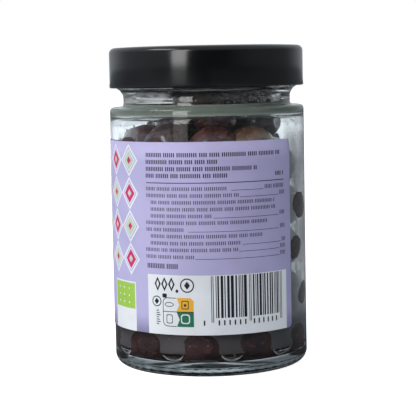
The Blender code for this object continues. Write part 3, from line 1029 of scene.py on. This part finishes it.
def hidden_places():
    """The olives in the middle of the jar, which show only through the gaps."""
    draw = random.Random(5)
    places = []
    count, away, heights = INNER_RING
    for height in heights:
        for i in range(count):
            turn = math.radians(360 / count * i + 90 * draw.random())
            facing = Matrix.Rotation(math.tau * draw.random(), 3, "Z")
            facing @= Matrix.Rotation(draw.uniform(-1, 1), 3, "Y")
            centre = at_turn(turn, away, height + 0.002 * draw.uniform(-1, 1))
            places.append((centre, facing, OLIVE_LENGTH, OLIVE_WIDTH * 1.06))
    count, away, heights = OUTER_RING
    for height in heights:
        for i in range(count):
            centre = at_turn(math.radians(360 / count * i + 20 * draw.random()), away, height)
            facing = Matrix.Rotation(math.tau * draw.random(), 3, "Z")
            places.append((centre, facing, OLIVE_LENGTH, OLIVE_WIDTH))
    return places


def press_inside(point, bite):
    """Presses a point that reaches past the inside of the jar back against it."""
    floor = FLOOR_HEIGHT + FLOOR_RISE
    if point.z < floor:
        point.z = floor - FLOOR_GIVE * (floor - point.z)
    limit = inside_radius(point.z) + bite
    away = math.hypot(point.x, point.y)
    if away > limit:
        point.x *= limit / away
        point.y *= limit / away


def add_olive(heap, place, tone, segments, wrinkle, bite, seed):
    """A plump fruit, longest along its own X, with a blunt stem end, a small tip and a wrinkled skin."""
    centre, facing, length, width = place
    rings = round(segments * 0.7)
    made = bmesh.ops.create_uvsphere(heap, u_segments=segments, v_segments=rings, radius=0.5)["verts"]
    bmesh.ops.rotate(heap, verts=made, cent=(0, 0, 0), matrix=Matrix.Rotation(math.pi / 2, 3, "Y"))
    tones = heap.verts.layers.float["tone"]
    alongs = heap.verts.layers.float_vector["along"]
    shift = Vector((seed * 0.731, seed * 1.37, seed * 0.413))
    slim = 0.05 + 0.05 * noise.noise(shift)
    for v in made:
        unit = v.co * 2
        taper = 1 - slim * unit.x - 0.04 * unit.x * unit.x
        x = unit.x * length / 2
        tip = max(0.0, unit.x - TIP_START) * TIP_RISE
        dimple = max(0.0, -unit.x - DIMPLE_START) * DIMPLE_DEPTH
        y, z = unit.y * taper * width / 2, unit.z * taper * width / 2
        flow = Vector((unit.x * 0.9, unit.y * 1.7, unit.z * 1.7)) + shift
        dent = noise.noise(flow * 1.1) * 1.9
        fold = noise.turbulence(Vector((unit.x * 1.6, unit.y * 3.6, unit.z * 3.6)) + shift, 3, True) - 0.55
        swell = wrinkle * (dent + 1.5 * fold)
        local = Vector((x + tip + dimple, y, z)) + unit * swell
        v[alongs] = local + shift * 0.05
        v[tones] = tone
        v.co = centre + facing @ local
        press_inside(v.co, bite)


class OLIVEJAR_OT_olives(bpy.types.Operator):
    """Fill the jar with olives: rows pressed against the glass, a mound on top and more in the middle."""

    bl_idname = "olive_jar.olives"
    bl_label = "Olives"

    def execute(self, context):
        given = settings()
        skin = olive_material()
        draw = random.Random(3)
        places = olive_places()
        tones = [PICKED_TONES.get(i, min(1.0, 0.62 * draw.random() ** 1.3)) for i in range(len(places))]
        groups = (
            ("olives_low", range(0, 19), given.olive_segments, "olives"),
            ("olives_middle", range(19, 37), given.olive_segments, None),
            ("olives_top", range(37, len(places)), given.olive_segments + 8, None),
        )
        for name, members, segments, replaced in groups:
            heap = self.new_heap()
            for i in members:
                add_olive(heap, places[i], tones[i], segments, given.olive_wrinkle, given.olive_bite, i + 1)
            finish_piece(name, heap, [skin], node=replaced)
        heap = self.new_heap()
        for i, place in enumerate(hidden_places()):
            add_olive(heap, place, 0.4 * draw.random(), 20, given.olive_wrinkle, given.olive_bite, i + 80)
        finish_piece("olives_inner", heap, [skin])
        return {"FINISHED"}

    def new_heap(self):
        heap = bmesh.new()
        heap.verts.layers.float.new("tone")
        heap.verts.layers.float_vector.new("along")
        return heap


# The juice.

# Each gap between the lowest olives: its turn in degrees, and half its width in millimetres.
GAPS = (
    (-65, 4.6), (-24, 4.7), (12.5, 4.5), (48.5, 5.9), (84, 4.8), (120, 4.5), (156, 4.5), (192, 4.7),
    (227, 4.5), (261, 4.5))

# The rest in millimetres along the wall and up it: half the way from gap to gap, the lower end of a finger,
# the arch over an olive and the width of the rim's painted highlight. Then how far the film reaches into the
# glass, in metres.
HALF_PITCH = 10.65
FINGER_LOW = 5.3
ARCH_LOW, ARCH_RISE, ARCH_HALF = 10.7, 5.1, 6.15
RIM_GLINT_WIDTH = 0.85
FILM_BITE = 0.00005


def off_gap(turn, gap):
    """How far a turn lies from a gap, in millimetres along the wall."""
    across = (turn - math.radians(gap) + math.pi) % math.tau - math.pi
    return abs(across) * INNER_RADIUS / MM


def wet_height(turn):
    """How high the wet patches reach up the wall: arches over each olive, and narrow fingers between them."""
    s, half = min((off_gap(turn, gap), half) for gap, half in GAPS)
    wobble = 0.5 * noise.noise(Vector((math.sin(turn) * 4, math.cos(turn) * 4, 2.0)))
    if s < half:
        height = FINGER_LOW + half - math.sqrt(half ** 2 - s ** 2)
    else:
        height = ARCH_LOW + ARCH_RISE * math.sqrt(max(0.0, 1 - ((HALF_PITCH - s) / ARCH_HALF) ** 2))
    return (height + wobble) * MM


class OLIVEJAR_OT_juice(bpy.types.Operator):
    """Pour the thin pool of juice, with the wet patches that it leaves on the wall."""

    bl_idname = "olive_jar.juice"
    bl_label = "Juice"

    def execute(self, context):
        level = settings().juice_level
        up, down, pool = 14, 8, 6
        rows = up + down + pool
        # Spun first on a plain ladder of rows, then each row is set in its place.
        ladder = [(0.0, 0.0)] + [(1.0, float(i)) for i in range(1, rows)] + [(0.0, float(rows))]
        juice = spun(ladder, 480)
        low = FLOOR_HEIGHT + 0.00005
        for v in juice.verts:
            row = round(v.co.z)
            turn = turn_of(v.co)
            top = wet_height(turn)
            if row == 0:
                v.co = Vector((0, 0, FLOOR_HEIGHT + FLOOR_RISE - 0.0001))
            elif row <= up:
                z = low + (top - low) * ((row - 1) / (up - 1)) ** 0.8
                v.co = at_turn(turn, inside_radius(z) + 0.0001, z)
            elif row <= up + down:
                share = (row - up) / down
                z = top - 0.00005 - (top - level) * share if top > level else top
                v.co = at_turn(turn, inside_radius(z) - 0.00025 - 0.0006 * share ** 3, z)
            elif row < rows:
                share = (row - up - down) / pool
                away = (inside_radius(level) - 0.0012) * (1 - share)
                v.co = at_turn(turn, away, min(level, top) - 0.0001 * share)
            else:
                v.co = Vector((0, 0, level - 0.0001))
        finish_piece("juice", juice, [juice_material()], sharp=50)
        self.rim_glints()
        self.haze()
        self.drops_and_crumbs()
        return {"FINISHED"}

    def rim_glints(self):
        """The thin rim of juice round the lower end of each finger, made pale as a painted highlight."""
        rim_glints = bmesh.new()
        # Painted highlight: pale colours stand in for the glint on the juice's edge.
        material = patchy_material(
            "painted_rim_glint", (500.0, 2.0, 0.35, 0.65), (0.70, 0.73, 0.73), (0.95, 0.97, 0.96), 0.2, 0.1)
        for gap, half in GAPS:
            made = bmesh.ops.create_grid(rim_glints, x_segments=20, y_segments=2, size=1.0)["verts"]
            for v in made:
                swing = math.radians(62 * v.co.x)
                reach = half - 0.1 + RIM_GLINT_WIDTH * (v.co.y - 1) / 2 * math.cos(swing * 1.35)
                turn = math.radians(gap) + reach * math.sin(swing) * MM / INNER_RADIUS
                edge = FINGER_LOW + half - math.sqrt(max(0.0, half ** 2 - (reach * math.sin(swing)) ** 2))
                z = wet_height(turn) + (FINGER_LOW + half - reach * math.cos(swing) - edge + 0.1) * MM
                v.co = at_turn(turn, inside_radius(z) + 0.00006, z)
        finish_piece("juice_rim_glints", rim_glints, [material], recalculate=False)

    def haze(self):
        """The film inside the wall and up over the inner shoulder."""
        up_neck = INSIDE_LINE[9:] + [(MOUTH_RADIUS, BEAD_BOTTOM)]
        line = [(r + FILM_BITE, z) for r, z in fine_line(up_neck, 0.0015) if z > 0.008]
        finish_piece("oil_film", spun(line, 144), [haze_material()])

    def drops_and_crumbs(self):
        draw = random.Random(21)
        drops = bmesh.new()
        for _ in range(150):
            turn = math.radians(draw.uniform(8, 60) if draw.random() < 0.7 else draw.uniform(-180, 180))
            height = draw.uniform(0.0985, 0.1036)
            self.blob(drops, draw, turn, height, draw.uniform(0.0002, 0.0005), 0.5, 2)
        finish_piece("drops", drops, [drop_material()])
        crumbs = bmesh.new()
        for _ in range(110):
            part = draw.random()
            if part < 0.4:
                turn, height = math.radians(draw.uniform(-55, -18)), draw.uniform(0.0945, 0.0985)
            elif part < 0.7:
                turn, height = math.radians(draw.uniform(-180, 180)), draw.uniform(0.007, 0.0155)
            else:
                turn, height = math.radians(draw.uniform(-180, 180)), draw.uniform(0.086, 0.098)
            self.blob(crumbs, draw, turn, height, draw.uniform(0.00015, 0.00045), 0.8, 1)
        material = patchy_material(
            "olive_crumbs", (900.0, 3.0, 0.3, 0.7), (0.09, 0.055, 0.022), (0.30, 0.21, 0.10), 0.35, 0.2)
        finish_piece("crumbs", crumbs, [material])

    def blob(self, shape, draw, turn, height, size, flat, rounds):
        """One small lump stuck to the inside of the wall."""
        made = bmesh.ops.create_icosphere(shape, subdivisions=rounds, radius=size)["verts"]
        stretch = (flat, draw.uniform(0.8, 1.3), draw.uniform(0.8, 1.4))
        bmesh.ops.scale(shape, vec=stretch, verts=made)
        facing = Matrix.Rotation(turn - math.pi / 2, 3, "Z")
        bmesh.ops.rotate(shape, verts=made, cent=(0, 0, 0), matrix=facing)
        away = inside_radius(height) - size * flat * 0.6
        bmesh.ops.translate(shape, verts=made, vec=at_turn(turn, away, height))
        for v in made:
            v.co += Vector((draw.uniform(-1, 1), draw.uniform(-1, 1), draw.uniform(-1, 1))) * size * 0.12


# The stage.

# The bare background's colour where it is seen through the glass.
BEHIND_GLASS = (0.82, 0.88, 0.95)

# The camera, fitted to the photo: millimetres of lens, place, and angles in radians.
CAMERA_LENS = 127.03
CAMERA_PLACE = (-0.00027, -0.5553, 0.11136)
CAMERA_DOWN = 0.0956
CAMERA_ROLL = -0.0195


def floor_material():
    """White where it is seen directly or through the glass, and dim in reflections."""
    look = Look("studio_floor")
    cloud = look.mask(2.0, 2.0, 0.3, 0.7)
    look.finish(Base_Color=look.mixed(cloud, (0.90, 0.90, 0.90), (0.92, 0.92, 0.92)), Roughness=0.9)
    path = look.add("LightPath").outputs
    glow = look.mixed(path["Is Transmission Ray"], (1, 1, 1), BEHIND_GLASS)
    glow = look.add("Emission", {"Color": glow, "Strength": 0.80})
    bright = look.add("AddShader", {0: look.shader.outputs[0], 1: glow.outputs[0]})
    across, depth, _ = look.axes()
    before = look.maths("ABSOLUTE", look.maths("ADD", across, 0.07))
    shade = look.times(look.spread(depth, -1.6, -0.8, 0.25, 1.0), look.spread(before, 0.10, 0.20, 0.45, 1.0))
    shine = look.mixed(shade, (0, 0, 0), (0.29, 0.30, 0.31))
    bounce = look.mixed(path["Is Diffuse Ray"], shine, (0.37, 0.39, 0.44))
    through = look.times(path["Is Transmission Ray"], look.spread(depth, 0.06, 0.20))
    lit = look.maths("MAXIMUM", path["Is Camera Ray"], through)
    look.shaders(lit, look.add("BsdfDiffuse", {"Color": bounce}), bright)
    return look.material


def studio_world():
    """White where it is seen directly, and for light and gloss a soft room: bright behind and at the
    sides, dark in front."""
    world = bpy.data.worlds.new("studio")
    bpy.context.scene.world = world
    world.use_nodes = True
    world.node_tree.nodes.clear()
    nodes = Nodes(world.node_tree)
    path = nodes.add("LightPath").outputs
    x, y, z = nodes.add("SeparateXYZ", {"Vector": nodes.add("TexCoord").outputs["Generated"]}).outputs
    fill = nodes.times(nodes.spread(x, 0.0, 0.90, 0.0, 0.26), path["Is Diffuse Ray"])
    room = nodes.maths("ADD", fill, 0.02)
    for value, low, high, most in (
            (nodes.times(x, -1.0), 0.35, 0.85, 0.40), (x, 0.25, 0.95, 0.24), (y, 0.25, 1.00, 0.50),
            (z, 0.25, 0.95, 0.55)):
        room = nodes.maths("ADD", room, nodes.spread(value, low, high, 0.0, most))
    soft = nodes.add("Background", {"Color": (0.90, 0.96, 1.02), "Strength": room})
    colour = nodes.mixed(path["Is Transmission Ray"], (1, 1, 1), BEHIND_GLASS)
    white = nodes.add("Background", {"Color": colour, "Strength": 1.0})
    through = nodes.times(path["Is Transmission Ray"], nodes.spread(y, -0.05, 0.15))
    seen = nodes.maths("MAXIMUM", path["Is Camera Ray"], through)
    mix = nodes.add("MixShader", {0: seen, 1: soft.outputs[0], 2: white.outputs[0]})
    nodes.add("OutputWorld", {"Surface": mix.outputs[0]})


def add_softbox(name, turn, distance, height, wide, tall, power, aim):
    """A rectangular lamp at a turn round the jar, facing the axis at a height."""
    lamp = bpy.data.lights.new(name, "AREA")
    lamp.shape = "RECTANGLE"
    lamp.size, lamp.size_y = wide, tall
    lamp.energy = power
    thing = bpy.data.objects.new(name, lamp)
    bpy.context.scene.collection.objects.link(thing)
    thing.location = at_turn(math.radians(turn), distance, height)
    facing = Vector((0, 0, aim)) - thing.location
    thing.rotation_euler = facing.to_track_quat("-Z", "Y").to_euler()
    thing.visible_camera = False
    thing.visible_transmission = False
    return thing


class OLIVEJAR_OT_stage(bpy.types.Operator):
    """Set up the pale floor, the soft studio light and the camera."""

    bl_idname = "olive_jar.stage"
    bl_label = "Floor, lights and camera"

    def execute(self, context):
        given = settings()
        plane = bmesh.new()
        bmesh.ops.create_grid(plane, x_segments=8, y_segments=8, size=6.0)
        mesh = bpy.data.meshes.new("studio_floor")
        plane.to_mesh(mesh)
        plane.free()
        mesh.materials.append(floor_material())
        floor = bpy.data.objects.new("studio_floor", mesh)
        floor.location.z = -0.00005
        context.scene.collection.objects.link(floor)
        studio_world()
        lamps = (
            ("key_softbox", -31, 1.1, 0.53, 0.37, 0.86, given.key_power, 0.08),
            ("key_foot", -31, 1.28, 0.065, 0.37, 0.130, given.key_power / 32, 0.065),
            ("glint_strip", -71, 0.60, 0.89, 0.50, 0.26, given.glint_power, 0.11),
            ("side_panel", -72, 1.2, 0.45, 0.7, 1.0, given.side_power, 0.06),
        )
        key, _, _, side = [add_softbox(*lamp) for lamp in lamps]
        key.visible_transmission = True
        side.visible_glossy = False
        scene = context.scene
        scene.view_settings.view_transform = "Standard"
        lens = bpy.data.cameras.new("photo_camera")
        lens.sensor_width = 36.0
        lens.lens = CAMERA_LENS
        lens.clip_start, lens.clip_end = 0.01, 50.0
        camera = bpy.data.objects.new("photo_camera", lens)
        turn = Matrix.Rotation(math.pi / 2 - CAMERA_DOWN, 3, "X") @ Matrix.Rotation(CAMERA_ROLL, 3, "Z")
        camera.matrix_world = Matrix.Translation(CAMERA_PLACE) @ turn.to_4x4()
        scene.collection.objects.link(camera)
        scene.camera = camera
        return {"FINISHED"}


class OLIVEJAR_PT_steps(bpy.types.Panel):
    """The steps that build the jar, in order."""

    bl_idname = "OLIVEJAR_PT_steps"
    bl_label = "Jar of olives"
    bl_space_type = "VIEW_3D"
    bl_region_type = "UI"
    bl_category = "Olive jar"

    def draw(self, context):
        for step in STEPS:
            self.layout.operator(step.bl_idname)
        for name in OliveJarSettings.__annotations__:
            self.layout.prop(context.scene.olive_jar, name)


STEPS = (
    OLIVEJAR_OT_glass, OLIVEJAR_OT_lid, OLIVEJAR_OT_label, OLIVEJAR_OT_olives, OLIVEJAR_OT_juice,
    OLIVEJAR_OT_stage)


def register():
    for kind in (OliveJarSettings, *STEPS, OLIVEJAR_PT_steps):
        bpy.utils.register_class(kind)
    bpy.types.Scene.olive_jar = PointerProperty(type=OliveJarSettings)


def unregister():
    del bpy.types.Scene.olive_jar
    for kind in (OLIVEJAR_PT_steps, *reversed(STEPS), OliveJarSettings):
        bpy.utils.unregister_class(kind)


def main():
    """Builds every piece and the stage."""
    register()
    bpy.ops.olive_jar.glass()
    bpy.ops.olive_jar.lid()
    bpy.ops.olive_jar.label()
    bpy.ops.olive_jar.olives()
    bpy.ops.olive_jar.juice()
    bpy.ops.olive_jar.stage()


if __name__ == "__main__":
    main()
